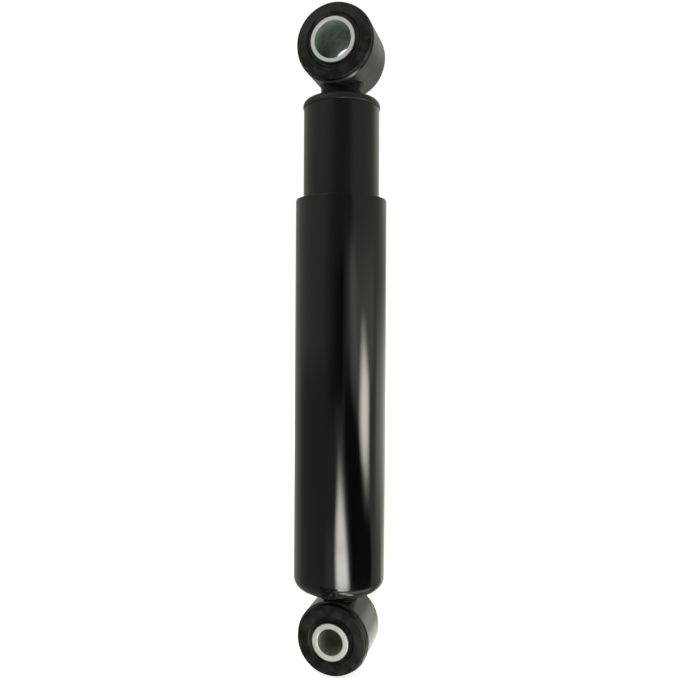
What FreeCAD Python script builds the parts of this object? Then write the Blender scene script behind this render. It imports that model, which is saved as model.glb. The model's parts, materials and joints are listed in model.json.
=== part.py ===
import FreeCAD, Part
import math
import os

# Twin-tube hydraulic shock absorber with a rubber-bushed eye at each end.
# Millimetres, +Z up. The origin is the centre of the lower eye, which is the rod end, and both eye bores run
# along Y. The rod, its piston and the dust shield belong to the lower eye. The cylinder belongs to the upper
# eye and slides out of the shield.

V = FreeCAD.Vector

# Gaps on the radius between pieces that fit together
SEAT_FIT = 0.02
RUNNING_FIT = 0.04
LOOSE_FIT = 0.3

# Lower eye, welded to the rod
ROD_RING_OD = 40.4
ROD_RING_WALL = 3.0
ROD_RING_WIDTH = 25.0
ROD_SLEEVE_BORE = 14.1
ROD_SLEEVE_WALL = 3.2
ROD_SLEEVE_LENGTH = 34.4
ROD_BUSH_FLANGE = 3.0
ROD_NECK_HEIGHT = 4.9
ROD_NECK_WAIST = 19.4
ROD_NECK_FLARE = 2.6

# Upper eye, welded to the base cap of the cylinder
BASE_RING_OD = 43.5
BASE_RING_WALL = 3.0
BASE_RING_WIDTH = 29.0
BASE_SLEEVE_BORE = 20.2
BASE_SLEEVE_WALL = 2.4
BASE_SLEEVE_LENGTH = 37.2
BASE_BUSH_FLANGE = 3.0
BASE_NECK_HEIGHT = 6.35
BASE_NECK_WAIST = 23.4
BASE_NECK_FLARE = 2.9

# Welds of both eyes: share of the flare that is left at half height, and how far a weld runs in past the
# ring's flank before it is cut
NECK_HOLLOW = 0.22
WELD_OVERLAP = 0.3

# Edges that both eyes share
RING_CHAMFER = 1.0
SLEEVE_CHAMFER = 0.45
BUSH_INSET = 0.45
BUSH_EDGE_RADIUS = 2.4
BUSH_GROOVE_WIDTH = 1.8
BUSH_GROOVE_DEPTH = 1.0

# Dust shield: a drawn cup with a hole for the rod's boss, held by a pressed washer inside
SHIELD_GAP = 3.0
SHIELD_WALL = 1.2
SHIELD_LENGTH = 215.15
SHIELD_CORNER_RADIUS = 4.8
RETAINER_WIDTH = 7.0
RETAINER_THICKNESS = 2.5
RETAINER_EDGE_RADIUS = 1.2

# Travel from closed to open, and how far open the part is drawn
TRAVEL = 150.0
REST_EXTENSION = 10.0
CLOSED_GAP_SHIELD = 5.35
CLOSED_GAP_FOOT = 3.0

# Cylinder
RESERVOIR_OD = 42.4
RESERVOIR_WALL = 1.5
LIP_WIDTH = 4.6
LIP_CORNER_RADIUS = 2.4
PRESSURE_BORE = 27.0
PRESSURE_WALL = 1.1
CAP_THICKNESS = 2.5
CAP_SHOULDER_HEIGHT = 4.8
CAP_SHOULDER_PROUD = 0.42
CAP_CORNER_RADIUS = 3.2
CAP_EDGE_RADIUS = 0.9
CAP_SPIGOT_LENGTH = 5.0
CAP_SPIGOT_WALL = 2.4
CAP_INNER_RADIUS = 1.2

# Rod guide and seal, at the open end of the cylinder
SEAL_COVER_THICKNESS = 2.0
SEAL_HEIGHT = 6.0
SEAL_LIP_HEIGHT = 3.4
SEAL_LIP_WALL = 1.3
SEAL_LIP_BAND = 1.6
SEAL_RELIEF = 2.2
GARTER_WIRE = 1.4
GUIDE_FLANGE_HEIGHT = 8.0
GUIDE_SPIGOT_HEIGHT = 8.0
GUIDE_POCKET_GAP = 0.8
GUIDE_DRAINS = 4
GUIDE_DRAIN_BORE = 2.4
GUIDE_BUSH_WALL = 1.2

# Rod, with a welded boss below and a thinner threaded end that carries the piston
ROD_DIAMETER = 12.4
ROD_SHOULDER = 1.2
ROD_TIP_CHAMFER = 0.8
BOSS_DIAMETER = 16.0
BOSS_PROUD = 0.6
STOP_INSET = 1.0
STOP_HEIGHT = 4.0
STOP_GROOVE_DEPTH = 0.6
STOP_TO_SHOULDER = 4.0
BUMPER_GAP = 3.0
BUMPER_HEIGHT = 8.0
BUMPER_EDGE_RADIUS = 1.5

# Piston and its valves
PISTON_HEIGHT = 12.0
PISTON_GAP = 0.25
BAND_HEIGHT = 7.0
BAND_THICKNESS = 1.2
PORTS = 6
PORT_WALL = 0.7
REBOUND_PORT = 2.2
INTAKE_PORT = 1.8
INTAKE_STOP_THICKNESS = 2.0
INTAKE_SPRING_HEIGHT = 1.6
INTAKE_PLATE_THICKNESS = 0.8
REBOUND_DISCS = 4
REBOUND_DISC_THICKNESS = 0.25
REBOUND_DISC_STEP = 0.35
REBOUND_SEAT_THICKNESS = 2.5
REBOUND_SPRING_HEIGHT = 9.0
REBOUND_SPRING_WIRE = 1.5
REBOUND_SPRING_TURNS = 3.0
NUT_HUB_WALL = 1.15
NUT_HEIGHT = 5.0
NUT_WALL = 4.5
THREAD_BEYOND_NUT = 1.0

# Foot valve, between the pressure tube and the base cap
FOOT_SPIGOT_HEIGHT = 4.0
FOOT_FLANGE_GAP = 0.8
FOOT_FLANGE_HEIGHT = 4.0
FOOT_LEG_WALL = 3.0
FOOT_LEG_SLOTS = 4
FOOT_LEG_SLOT_WIDTH = 8.0
FOOT_BOLT_DIAMETER = 6.0
FOOT_HEAD_WIDTH = 2.5
FOOT_HEAD_HEIGHT = 2.6
FOOT_HEAD_EDGE_RADIUS = 0.8
FOOT_HEAD_GAP = 1.05
FOOT_NUT_HUB_WALL = 0.7
FOOT_NUT_WALL = 3.5
FOOT_NUT_HEIGHT = 4.0
COMPRESSION_PORT = 2.0
COMPRESSION_DISCS = 4
COMPRESSION_DISC_THICKNESS = 0.2
COMPRESSION_DISC_STEP = 0.3
CHECK_PORT = 2.4
CHECK_PLATE_THICKNESS = 0.8
CHECK_SPRING_HEIGHT = 1.6

# Star springs, pressed from thin strip
STAR_STRIP = 0.4
STAR_ARMS = 6
STAR_ARM_WIDTH = 2.4
STAR_HUB_WIDTH = 1.2

# Radii, from the rod outwards
rod_r = ROD_DIAMETER / 2
rod_run_r = rod_r + RUNNING_FIT
spigot_r = rod_r - ROD_SHOULDER
spigot_seat_r = spigot_r + SEAT_FIT
boss_r = BOSS_DIAMETER / 2
boss_seat_r = boss_r + SEAT_FIT
seal_lip_r = rod_run_r + SEAL_LIP_WALL
garter_r = seal_lip_r + SEAT_FIT + GARTER_WIRE / 2
guide_bush_r = rod_run_r + GUIDE_BUSH_WALL
guide_pocket_r = garter_r + GARTER_WIRE / 2 + LOOSE_FIT

# Radii of the tubes
pressure_bore_r = PRESSURE_BORE / 2
pressure_seat_r = pressure_bore_r - SEAT_FIT
pressure_r = pressure_bore_r + PRESSURE_WALL
reservoir_r = RESERVOIR_OD / 2
reservoir_bore_r = reservoir_r - RESERVOIR_WALL
reservoir_seat_r = reservoir_bore_r - SEAT_FIT
cap_spigot_r = reservoir_seat_r - CAP_SPIGOT_WALL
shield_bore_r = reservoir_r + SHIELD_GAP
shield_r = shield_bore_r + SHIELD_WALL

# Radii of the piston and of the pieces on it
piston_r = pressure_bore_r - PISTON_GAP
band_r = pressure_bore_r - RUNNING_FIT
band_groove_r = band_r - BAND_THICKNESS
bumper_r = pressure_bore_r - BUMPER_GAP
nut_hub_r = spigot_seat_r + NUT_HUB_WALL
nut_run_r = nut_hub_r + RUNNING_FIT
rebound_pitch_r = nut_run_r + PORT_WALL + REBOUND_PORT / 2
rebound_disc_r = rebound_pitch_r + REBOUND_PORT / 2 + PORT_WALL / 2
rebound_seat_r = rebound_disc_r - (REBOUND_DISCS - 1) * REBOUND_DISC_STEP
intake_pitch_r = band_groove_r - PORT_WALL - INTAKE_PORT / 2
intake_plate_r = intake_pitch_r + (INTAKE_PORT + PORT_WALL) / 2

# Radii of the foot valve
foot_bolt_r = FOOT_BOLT_DIAMETER / 2
foot_seat_r = foot_bolt_r + SEAT_FIT
foot_hub_r = foot_seat_r + FOOT_NUT_HUB_WALL
foot_run_r = foot_hub_r + RUNNING_FIT
foot_flange_r = cap_spigot_r - FOOT_FLANGE_GAP
compression_pitch_r = foot_run_r + PORT_WALL + COMPRESSION_PORT / 2
compression_disc_r = compression_pitch_r + COMPRESSION_PORT / 2 + PORT_WALL
check_plate_r = pressure_seat_r - PORT_WALL
check_pitch_r = check_plate_r - PORT_WALL - CHECK_PORT / 2

# Heights of the shield
rod_ring_r = ROD_RING_OD / 2
shield_floor = rod_ring_r + ROD_NECK_HEIGHT
shield_inside = shield_floor + SHIELD_WALL
shield_rim = shield_floor + SHIELD_LENGTH
retainer_top = shield_inside + RETAINER_THICKNESS

# Heights of the cylinder's open end
tube_end = retainer_top + CLOSED_GAP_SHIELD + REST_EXTENSION
cover_bottom = tube_end + RESERVOIR_WALL
seal_bottom = cover_bottom + SEAL_COVER_THICKNESS
guide_bottom = seal_bottom + SEAL_HEIGHT
seal_lip_top = guide_bottom + SEAL_LIP_HEIGHT
guide_pocket_top = seal_lip_top + GUIDE_POCKET_GAP
pressure_bottom = guide_bottom + GUIDE_FLANGE_HEIGHT
guide_top = pressure_bottom + GUIDE_SPIGOT_HEIGHT

# Heights of the piston stack, which the travel sets off from the guide
bumper_bottom = guide_top + TRAVEL - REST_EXTENSION
stop_bottom = bumper_bottom + BUMPER_HEIGHT
stop_top = stop_bottom + STOP_HEIGHT
rod_shoulder = stop_top + STOP_TO_SHOULDER
intake_stop_top = rod_shoulder + INTAKE_STOP_THICKNESS
intake_plate_bottom = intake_stop_top + INTAKE_SPRING_HEIGHT
piston_bottom = intake_plate_bottom + INTAKE_PLATE_THICKNESS
piston_middle = piston_bottom + PISTON_HEIGHT / 2
piston_top = piston_bottom + PISTON_HEIGHT
rebound_seat_bottom = piston_top + REBOUND_DISCS * REBOUND_DISC_THICKNESS
rebound_seat_top = rebound_seat_bottom + REBOUND_SEAT_THICKNESS
nut_bottom = rebound_seat_top + REBOUND_SPRING_HEIGHT
nut_top = nut_bottom + NUT_HEIGHT
rod_tip = nut_top + THREAD_BEYOND_NUT

# Heights of the foot valve and of the cylinder's closed end
foot_bolt_tip = rod_tip + CLOSED_GAP_FOOT + REST_EXTENSION
foot_nut_bottom = foot_bolt_tip + THREAD_BEYOND_NUT
foot_nut_top = foot_nut_bottom + FOOT_NUT_HEIGHT
check_plate_bottom = foot_nut_top + CHECK_SPRING_HEIGHT
foot_bottom = check_plate_bottom + CHECK_PLATE_THICKNESS
pressure_top = foot_bottom + FOOT_SPIGOT_HEIGHT
foot_top = pressure_top + FOOT_FLANGE_HEIGHT
compression_top = foot_top + COMPRESSION_DISCS * COMPRESSION_DISC_THICKNESS
foot_head_top = compression_top + FOOT_HEAD_HEIGHT
cap_inside = foot_head_top + FOOT_HEAD_GAP
cap_top = cap_inside + CAP_THICKNESS
cap_shoulder = cap_top - CAP_SHOULDER_HEIGHT
base_ring_r = BASE_RING_OD / 2
base_eye_height = cap_top + BASE_NECK_HEIGHT + base_ring_r


def rounding(before, corner, after, radius):
    """Start, middle and end of the arc that rounds a corner."""
    back = (before - corner).normalize()
    ahead = (after - corner).normalize()
    half = back.getAngle(ahead) / 2
    inward = (back + ahead).normalize()
    reach = radius / math.tan(half)
    return corner + back * reach, corner + inward * (radius / math.sin(half) - radius), corner + ahead * reach


def outline(corners):
    """Closed wire in the XZ plane. A corner is (radius, height), with a third number where it is rounded."""
    points = [V(corner[0], 0, corner[1]) for corner in corners]
    edges, ends = [], []
    for i, corner in enumerate(corners):
        if len(corner) == 2:
            ends.append((points[i], points[i]))
            continue
        start, middle, end = rounding(points[i - 1], points[i], points[(i + 1) % len(points)], corner[2])
        edges.append(Part.Arc(start, middle, end).toShape())
        ends.append((start, end))
    for (_, leave), (arrive, _) in zip(ends, ends[1:] + ends[:1]):
        edges.append(Part.LineSegment(leave, arrive).toShape())
    return Part.Wire(Part.__sortEdges__(edges))


def turned(corners):
    """Solid turned about Z."""
    return Part.Face(outline(corners)).revolve(V(0, 0, 0), V(0, 0, 1), 360)


def collar(inner_r, outer_r, bottom, top):
    return turned([(inner_r, bottom), (outer_r, bottom), (outer_r, top), (inner_r, top)])


def around(shape, count, first_turn=0.0):
    """Copies of a shape, spread evenly about Z."""
    copies = []
    for i in range(count):
        copy = shape.copy()
        copy.rotate(V(0, 0, 0), V(0, 0, 1), first_turn + 360 * i / count)
        copies.append(copy)
    return copies


def drilled(shape, count, pitch_r, bore, bottom, top, first_turn=0.0):
    """Cuts a ring of holes along Z."""
    hole = Part.makeCylinder(bore / 2, top - bottom, V(pitch_r, 0, bottom))
    return shape.cut(around(hole, count, first_turn))


def hexagon_nut(flat_r, bore_r, bottom, top):
    """Hexagon prism with its corners turned off at both ends, and a plain bore."""
    corner_r = flat_r / math.cos(math.radians(30))
    turns = [math.radians(60 * i) for i in range(7)]
    corners = [V(corner_r * math.cos(turn), corner_r * math.sin(turn), bottom) for turn in turns]
    prism = Part.Face(Part.makePolygon(corners)).extrude(V(0, 0, top - bottom))
    slope = (corner_r - flat_r) / 2
    blank = turned([(bore_r, bottom), (flat_r, bottom), (corner_r, bottom + slope),
                    (corner_r, top - slope), (flat_r, top), (bore_r, top)])
    return prism.common(blank)


def stacked_discs(inner_r, outer_r, bottom, count, thickness, step):
    """Spring-steel discs that lie on one another, each smaller than the one below it."""
    discs = []
    for i in range(count):
        low = bottom + i * thickness
        discs.append(collar(inner_r, outer_r - i * step, low, low + thickness))
    return discs


def star_spring(inner_r, outer_r, bottom, top):
    """Dished strip with a hub below and arms whose tips press upwards, set between the ports."""
    hub_r = inner_r + STAR_HUB_WIDTH
    dish = turned([(inner_r, bottom), (hub_r, bottom), (outer_r, top - STAR_STRIP), (outer_r, top),
                   (hub_r, bottom + STAR_STRIP), (inner_r, bottom + STAR_STRIP)])
    hub = Part.makeCylinder(hub_r, top - bottom, V(0, 0, bottom))
    arm = Part.makeBox(outer_r, STAR_ARM_WIDTH, top - bottom, V(0, -STAR_ARM_WIDTH / 2, bottom))
    return dish.common(hub.fuse(around(arm, STAR_ARMS, 180 / STAR_ARMS)))


class Eye:
    """Sizes of one eye, and its pieces. Each piece is turned about Z and laid along Y."""

    def __init__(self, height, ring_r, ring_wall, ring_width, bore, sleeve_wall, sleeve_length, flange):
        self.height = height
        self.ring_r = ring_r
        self.ring_bore_r = ring_r - ring_wall
        self.ring_half = ring_width / 2
        self.bore_r = bore / 2
        self.sleeve_r = self.bore_r + sleeve_wall
        self.sleeve_half = sleeve_length / 2
        self.flange = flange

    def laid(self, shape):
        shape.rotate(V(0, 0, 0), V(1, 0, 0), -90)
        shape.translate(V(0, 0, self.height))
        return shape

    def ring(self):
        edge_r, edge = self.ring_r - RING_CHAMFER, self.ring_half - RING_CHAMFER
        return self.laid(turned([(self.ring_bore_r, -self.ring_half), (edge_r, -self.ring_half),
                                 (self.ring_r, -edge), (self.ring_r, edge), (edge_r, self.ring_half),
                                 (self.ring_bore_r, self.ring_half)]))

    def bush(self):
        """Rubber bush with a flange over each end of the ring and a moulded groove beside the sleeve."""
        inner_r = self.sleeve_r + RUNNING_FIT
        seat_r = self.ring_bore_r - SEAT_FIT
        flange_r = self.ring_r - BUSH_INSET
        groove_r = inner_r + BUSH_GROOVE_WIDTH
        face_r = groove_r + BUSH_GROOVE_DEPTH
        half = self.ring_half
        face = half + self.flange
        groove = face - BUSH_GROOVE_DEPTH
        return self.laid(turned([(inner_r, -groove), (groove_r, -groove), (face_r, -face),
                                 (flange_r, -face, BUSH_EDGE_RADIUS), (flange_r, -half), (seat_r, -half),
                                 (seat_r, half), (flange_r, half), (flange_r, face, BUSH_EDGE_RADIUS),
                                 (face_r, face), (groove_r, groove), (inner_r, groove)]))

    def sleeve(self):
        edge = self.sleeve_half - SLEEVE_CHAMFER
        bore_edge_r, outer_edge_r = self.bore_r + SLEEVE_CHAMFER, self.sleeve_r - SLEEVE_CHAMFER
        return self.laid(turned([(self.bore_r, -edge), (bore_edge_r, -self.sleeve_half),
                                 (outer_edge_r, -self.sleeve_half), (self.sleeve_r, -edge),
                                 (self.sleeve_r, edge), (outer_edge_r, self.sleeve_half),
                                 (bore_edge_r, self.sleeve_half), (self.bore_r, edge)]))

    def room(self):
        """Solid cylinder that fills the ring's outside, to cut what is welded to it."""
        length = 4 * self.ring_r
        return Part.makeCylinder(self.ring_r, length, V(0, -length / 2, self.height), V(0, 1, 0))


rod_eye = Eye(0, rod_ring_r, ROD_RING_WALL, ROD_RING_WIDTH, ROD_SLEEVE_BORE, ROD_SLEEVE_WALL,
              ROD_SLEEVE_LENGTH, ROD_BUSH_FLANGE)
base_eye = Eye(base_eye_height, base_ring_r, BASE_RING_WALL, BASE_RING_WIDTH, BASE_SLEEVE_BORE,
               BASE_SLEEVE_WALL, BASE_SLEEVE_LENGTH, BASE_BUSH_FLANGE)


def weld_neck(eye, foot, waist, flare, hole_r):
    """Hollow weld collar, narrowest at the ring's flank, that flares to a flat face at the foot's height."""
    waist_r = waist / 2
    flare_r = waist_r + flare
    flank = math.sqrt(eye.ring_r ** 2 - waist_r ** 2) - WELD_OVERLAP
    head = eye.height + math.copysign(flank, foot - eye.height)
    corners = [V(waist_r, 0, head), V(hole_r, 0, head), V(hole_r, 0, foot), V(flare_r, 0, foot)]
    edges = [Part.LineSegment(start, end).toShape() for start, end in zip(corners, corners[1:])]
    middle = V(waist_r + NECK_HOLLOW * flare, 0, (foot + head) / 2)
    edges.append(Part.Arc(corners[3], middle, corners[0]).toShape())
    return Part.Face(Part.Wire(edges)).revolve(V(0, 0, 0), V(0, 0, 1), 360).cut(eye.room())


def rod_eye_weld():
    return weld_neck(rod_eye, shield_floor, ROD_NECK_WAIST, ROD_NECK_FLARE, boss_seat_r)


def base_eye_weld():
    return weld_neck(base_eye, cap_top, BASE_NECK_WAIST, BASE_NECK_FLARE, 0)


def dust_shield():
    inner_radius = SHIELD_CORNER_RADIUS - SHIELD_WALL
    return turned([(boss_seat_r, shield_floor), (shield_r, shield_floor, SHIELD_CORNER_RADIUS),
                   (shield_r, shield_rim), (shield_bore_r, shield_rim),
                   (shield_bore_r, shield_inside, inner_radius), (boss_seat_r, shield_inside)])


def shield_retainer():
    outer_r = boss_seat_r + RETAINER_WIDTH
    return turned([(boss_seat_r, shield_inside), (outer_r, shield_inside),
                   (outer_r, retainer_top, RETAINER_EDGE_RADIUS), (boss_seat_r, retainer_top)])


def piston_rod():
    """Boss that is welded to the ring, ground rod, groove for the stop and threaded end."""
    boss_top = retainer_top + BOSS_PROUD
    groove_r = rod_r - STOP_GROOVE_DEPTH
    blank = turned([(0, 0), (boss_r, 0), (boss_r, boss_top), (rod_r, boss_top), (rod_r, stop_bottom),
                    (groove_r, stop_bottom), (groove_r, stop_top), (rod_r, stop_top), (rod_r, rod_shoulder),
                    (spigot_r, rod_shoulder), (spigot_r, rod_tip - ROD_TIP_CHAMFER),
                    (spigot_r - ROD_TIP_CHAMFER, rod_tip), (0, rod_tip)])
    return blank.cut(rod_eye.room())


def rebound_stop():
    return collar(rod_r - STOP_GROOVE_DEPTH + SEAT_FIT, bumper_r - STOP_INSET,
                  stop_bottom + SEAT_FIT, stop_top - SEAT_FIT)


def rebound_bumper():
    return turned([(rod_run_r, bumper_bottom), (bumper_r, bumper_bottom, BUMPER_EDGE_RADIUS),
                   (bumper_r, stop_bottom, BUMPER_EDGE_RADIUS), (rod_run_r, stop_bottom)])


def intake_stop_washer():
    """Washer on the rod's shoulder, with a hub that clamps the piston and guides the intake plate."""
    washer = turned([(spigot_seat_r, rod_shoulder), (intake_plate_r, rod_shoulder),
                     (intake_plate_r, intake_stop_top), (rod_r, intake_stop_top), (rod_r, piston_bottom),
                     (spigot_seat_r, piston_bottom)])
    return drilled(washer, PORTS, rebound_pitch_r, REBOUND_PORT, rod_shoulder, intake_stop_top)


def intake_spring():
    return star_spring(rod_run_r, intake_pitch_r, intake_stop_top, intake_plate_bottom)


def intake_plate():
    """Plate under the outer ports, with holes under the inner ports."""
    plate = collar(rod_run_r, intake_plate_r, intake_plate_bottom, piston_bottom)
    return drilled(plate, PORTS, rebound_pitch_r, REBOUND_PORT, intake_plate_bottom, piston_bottom)


def piston():
    low, high = piston_middle - BAND_HEIGHT / 2, piston_middle + BAND_HEIGHT / 2
    blank = turned([(spigot_seat_r, piston_bottom), (piston_r, piston_bottom), (piston_r, low),
                    (band_groove_r, low), (band_groove_r, high), (piston_r, high), (piston_r, piston_top),
                    (spigot_seat_r, piston_top)])
    blank = drilled(blank, PORTS, rebound_pitch_r, REBOUND_PORT, piston_bottom, piston_top)
    return drilled(blank, PORTS, intake_pitch_r, INTAKE_PORT, piston_bottom, piston_top, 180 / PORTS)


def piston_band():
    half = BAND_HEIGHT / 2 - RUNNING_FIT
    return collar(band_groove_r + RUNNING_FIT, band_r, piston_middle - half, piston_middle + half)


def rebound_discs():
    return stacked_discs(nut_run_r, rebound_disc_r, piston_top, REBOUND_DISCS, REBOUND_DISC_THICKNESS,
                         REBOUND_DISC_STEP)


def rebound_seat():
    return collar(nut_run_r, rebound_seat_r, rebound_seat_bottom, rebound_seat_top)


def rebound_spring():
    wire_r = REBOUND_SPRING_WIRE / 2
    coil_r = nut_hub_r + LOOSE_FIT + wire_r
    rise = REBOUND_SPRING_HEIGHT - REBOUND_SPRING_WIRE - 2 * SEAT_FIT
    helix = Part.makeHelix(rise / REBOUND_SPRING_TURNS, rise, coil_r)
    section = Part.Wire(Part.makeCircle(wire_r, V(coil_r, 0, 0), V(0, 1, 0)))
    coil = Part.Wire(helix).makePipeShell([section], True, True)
    coil.translate(V(0, 0, rebound_seat_top + SEAT_FIT + wire_r))
    return coil


def piston_nut():
    """Hexagon nut with a long hub that runs through the spring and clamps the piston."""
    hub = collar(spigot_seat_r, nut_hub_r, piston_top, nut_bottom)
    return hub.fuse(hexagon_nut(spigot_r + NUT_WALL, spigot_seat_r, nut_bottom, nut_top))


def reservoir_tube():
    """Outer tube, with its open end rolled in over the seal cover."""
    lip_r = reservoir_r - LIP_WIDTH
    return turned([(lip_r, tube_end), (reservoir_r, tube_end, LIP_CORNER_RADIUS), (reservoir_r, cap_shoulder),
                   (reservoir_bore_r, cap_shoulder), (reservoir_bore_r, cover_bottom), (lip_r, cover_bottom)])


def base_cap():
    """Pressed cap with a shoulder on the tube's end and a spigot inside it."""
    shoulder_r = reservoir_r + CAP_SHOULDER_PROUD
    spigot_end = cap_shoulder - CAP_SPIGOT_LENGTH
    return turned([(0, cap_inside), (cap_spigot_r, cap_inside, CAP_INNER_RADIUS), (cap_spigot_r, spigot_end),
                   (reservoir_seat_r, spigot_end), (reservoir_seat_r, cap_shoulder),
                   (shoulder_r, cap_shoulder, CAP_EDGE_RADIUS), (shoulder_r, cap_top, CAP_CORNER_RADIUS),
                   (0, cap_top)])


def pressure_tube():
    return collar(pressure_bore_r, pressure_r, pressure_bottom, pressure_top)


def seal_cover():
    return collar(rod_r + LOOSE_FIT, reservoir_seat_r, cover_bottom, seal_bottom)


def rod_seal():
    """Rubber seal with a wiping lip below, a relief, and an oil lip that stands up into the guide."""
    relief_r = rod_run_r + SEAL_RELIEF
    return turned([(rod_run_r, seal_bottom), (reservoir_seat_r, seal_bottom),
                   (reservoir_seat_r, guide_bottom), (seal_lip_r, guide_bottom), (seal_lip_r, seal_lip_top),
                   (rod_run_r, seal_lip_top), (rod_run_r, guide_bottom),
                   (relief_r, guide_bottom - SEAL_LIP_BAND), (relief_r, seal_bottom + SEAL_LIP_BAND)])


def garter_spring():
    """Closed ring that presses the oil lip onto the rod."""
    return Part.makeTorus(garter_r, GARTER_WIRE / 2, V(0, 0, seal_lip_top - GARTER_WIRE))


def rod_guide():
    """Sintered guide with a pocket for the seal's lip and drain holes back to the reservoir."""
    bush_seat_r = guide_bush_r + SEAT_FIT
    blank = turned([(guide_pocket_r, guide_bottom), (reservoir_seat_r, guide_bottom),
                    (reservoir_seat_r, pressure_bottom), (pressure_seat_r, pressure_bottom),
                    (pressure_seat_r, guide_top), (bush_seat_r, guide_top), (bush_seat_r, guide_pocket_top),
                    (guide_pocket_r, guide_pocket_top)])
    drain_r = (pressure_r + reservoir_bore_r) / 2
    return drilled(blank, GUIDE_DRAINS, drain_r, GUIDE_DRAIN_BORE, guide_bottom, pressure_bottom)


def guide_bush():
    return collar(rod_run_r, guide_bush_r, guide_pocket_top, guide_top)


def foot_valve_body():
    """Sintered body: a spigot in the pressure tube, a flange on its end and slotted legs against the cap."""
    legs_r = foot_flange_r - FOOT_LEG_WALL
    blank = turned([(foot_seat_r, foot_bottom), (pressure_seat_r, foot_bottom),
                    (pressure_seat_r, pressure_top), (foot_flange_r, pressure_top),
                    (foot_flange_r, cap_inside), (legs_r, cap_inside), (legs_r, foot_top),
                    (foot_seat_r, foot_top)])
    slot = Part.makeBox(2 * foot_flange_r, FOOT_LEG_SLOT_WIDTH, cap_inside - foot_top,
                        V(0, -FOOT_LEG_SLOT_WIDTH / 2, foot_top))
    blank = blank.cut(around(slot, FOOT_LEG_SLOTS))
    blank = drilled(blank, PORTS, compression_pitch_r, COMPRESSION_PORT, foot_bottom, foot_top)
    return drilled(blank, PORTS, check_pitch_r, CHECK_PORT, foot_bottom, foot_top, 180 / PORTS)


def foot_valve_bolt():
    """Bolt that clamps the foot valve, with its head on the compression discs."""
    head_r = foot_bolt_r + FOOT_HEAD_WIDTH
    return turned([(0, foot_bolt_tip), (foot_bolt_r, foot_bolt_tip), (foot_bolt_r, compression_top),
                   (head_r, compression_top), (head_r, foot_head_top, FOOT_HEAD_EDGE_RADIUS),
                   (0, foot_head_top)])


def foot_valve_nut():
    """Nut with a hub that runs through the check plate and seats on the valve body."""
    hub = collar(foot_seat_r, foot_hub_r, foot_nut_top, foot_bottom)
    return hub.fuse(hexagon_nut(foot_bolt_r + FOOT_NUT_WALL, foot_seat_r, foot_nut_bottom, foot_nut_top))


def compression_discs():
    return stacked_discs(foot_seat_r, compression_disc_r, foot_top, COMPRESSION_DISCS,
                         COMPRESSION_DISC_THICKNESS, COMPRESSION_DISC_STEP)


def foot_check_plate():
    """Plate that drops off the outer ports to let oil back in, with holes under the inner ports."""
    plate = collar(foot_run_r, check_plate_r, check_plate_bottom, foot_bottom)
    return drilled(plate, PORTS, compression_pitch_r, COMPRESSION_PORT, check_plate_bottom, foot_bottom)


def foot_check_spring():
    return star_spring(foot_run_r, check_pitch_r, foot_nut_top, check_plate_bottom)


pieces = {
    "rod_eye_ring": rod_eye.ring(),
    "rod_eye_bush": rod_eye.bush(),
    "rod_eye_sleeve": rod_eye.sleeve(),
    "rod_eye_weld": rod_eye_weld(),
    "dust_shield": dust_shield(),
    "shield_retainer": shield_retainer(),
    "piston_rod": piston_rod(),
    "rebound_stop": rebound_stop(),
    "rebound_bumper": rebound_bumper(),
    "intake_stop_washer": intake_stop_washer(),
    "intake_spring": intake_spring(),
    "intake_plate": intake_plate(),
    "piston": piston(),
    "piston_band": piston_band(),
    "rebound_seat": rebound_seat(),
    "rebound_spring": rebound_spring(),
    "piston_nut": piston_nut(),
    "reservoir_tube": reservoir_tube(),
    "base_cap": base_cap(),
    "pressure_tube": pressure_tube(),
    "seal_cover": seal_cover(),
    "rod_seal": rod_seal(),
    "garter_spring": garter_spring(),
    "rod_guide": rod_guide(),
    "guide_bush": guide_bush(),
    "foot_valve_body": foot_valve_body(),
    "foot_valve_bolt": foot_valve_bolt(),
    "foot_valve_nut": foot_valve_nut(),
    "foot_check_plate": foot_check_plate(),
    "foot_check_spring": foot_check_spring(),
    "base_eye_weld": base_eye_weld(),
    "base_eye_ring": base_eye.ring(),
    "base_eye_bush": base_eye.bush(),
    "base_eye_sleeve": base_eye.sleeve(),
}
for number, disc in enumerate(rebound_discs(), 1):
    pieces[f"rebound_disc_{number}"] = disc
for number, disc in enumerate(compression_discs(), 1):
    pieces[f"compression_disc_{number}"] = disc

os.makedirs("parts", exist_ok=True)
for name, shape in pieces.items():
    solid = shape.removeSplitter()
    solid.exportStep(os.path.join("parts", name + ".step"))
    print(f"{name:20s} solids {len(solid.Solids)}, volume {solid.Volume:.1f}, sound {solid.isValid()}")
print(f"eye to eye {base_eye_height:.2f}, opens by {TRAVEL - REST_EXTENSION} and closes by {REST_EXTENSION}")
print(f"piston middle {piston_middle:.2f}, intake stop {intake_stop_top:.2f}, nut {nut_bottom:.2f}")
print(f"foot nut {foot_nut_top:.2f}, sleeves {rod_eye.sleeve_r:.2f} and {base_eye.sleeve_r:.2f}")
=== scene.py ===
import json
import math

import bmesh
import bpy
from mathutils import Matrix, Vector, noise

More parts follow.
